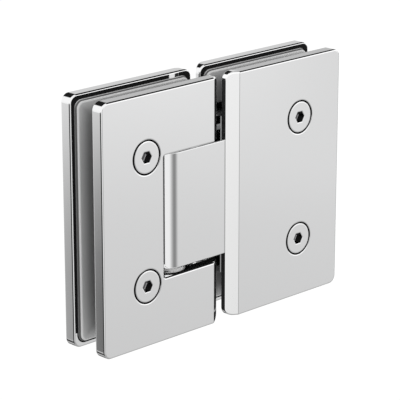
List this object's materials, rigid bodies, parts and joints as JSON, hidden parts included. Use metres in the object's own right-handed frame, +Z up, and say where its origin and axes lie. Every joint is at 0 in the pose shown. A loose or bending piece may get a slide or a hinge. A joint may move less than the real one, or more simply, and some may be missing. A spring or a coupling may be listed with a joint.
{
  "type": "glass door hinge",
  "caption": "Glass-to-glass shower door hinge: bevelled clamp plates with soft pads on each side of a self-centring pivot block.",
  "frame": {"origin": "middle of the bounding box's bottom face, under the gap between the leaves", "axes": "+X from the door leaf to the fixed leaf, +Y from the screw-head side to the plain side, +Z up along the pivot"},
  "size_m": [0.115, 0.0206, 0.09],
  "materials": {
    "chrome": "polished",
    "screw_chrome": "polished",
    "yoke_chrome": "polished",
    "gasket": "satin",
    "washer": "smooth",
    "bush": "turned",
    "steel": "turned"
  },
  "bodies": {
    "fixed_leaf": {"fixed_front_plate": "chrome", "fixed_back_plate": "chrome", "fixed_front_gasket": "gasket", "fixed_back_gasket": "gasket", "fixed_screw_lower": "screw_chrome", "fixed_screw_upper": "screw_chrome", "hinge_body": "chrome", "pivot_bush_lower": "bush", "pivot_bush_upper": "bush", "thrust_washer_upper": "washer", "centring_spring_lower": "steel", "centring_spring_upper": "steel", "spring_plug_lower": "steel", "spring_plug_upper": "steel"},
    "door_leaf": {"door_front_plate": "chrome", "door_back_plate": "chrome", "door_front_gasket": "gasket", "door_back_gasket": "gasket", "door_yoke": "yoke_chrome", "door_screw_lower": "screw_chrome", "door_screw_upper": "screw_chrome", "pivot_pin": "steel", "pin_grub_screw_lower": "steel", "pin_grub_screw_upper": "steel", "thrust_washer_lower": "washer"},
    "lower_plunger": {"plunger_lower": "steel"},
    "upper_plunger": {"plunger_upper": "steel"}
  },
  "joints": [
    {"name": "door_swing", "type": "hinge", "parent": "fixed_leaf", "child": "door_leaf", "pos_m": [-0.01955, 0, 0.045], "axis": [0, 0, 1], "range_deg": [-90, 90]},
    {"name": "lower_plunger_slide", "type": "slide", "parent": "fixed_leaf", "child": "lower_plunger", "axis": [-1, 0, 0], "range_m": [0, 0.00075], "stiffness_N_per_m": 5000, "springref_m": 0.00075},
    {"name": "upper_plunger_slide", "type": "slide", "parent": "fixed_leaf", "child": "upper_plunger", "axis": [-1, 0, 0], "range_m": [0, 0.00075], "stiffness_N_per_m": 5000, "springref_m": 0.00075}
  ]
}
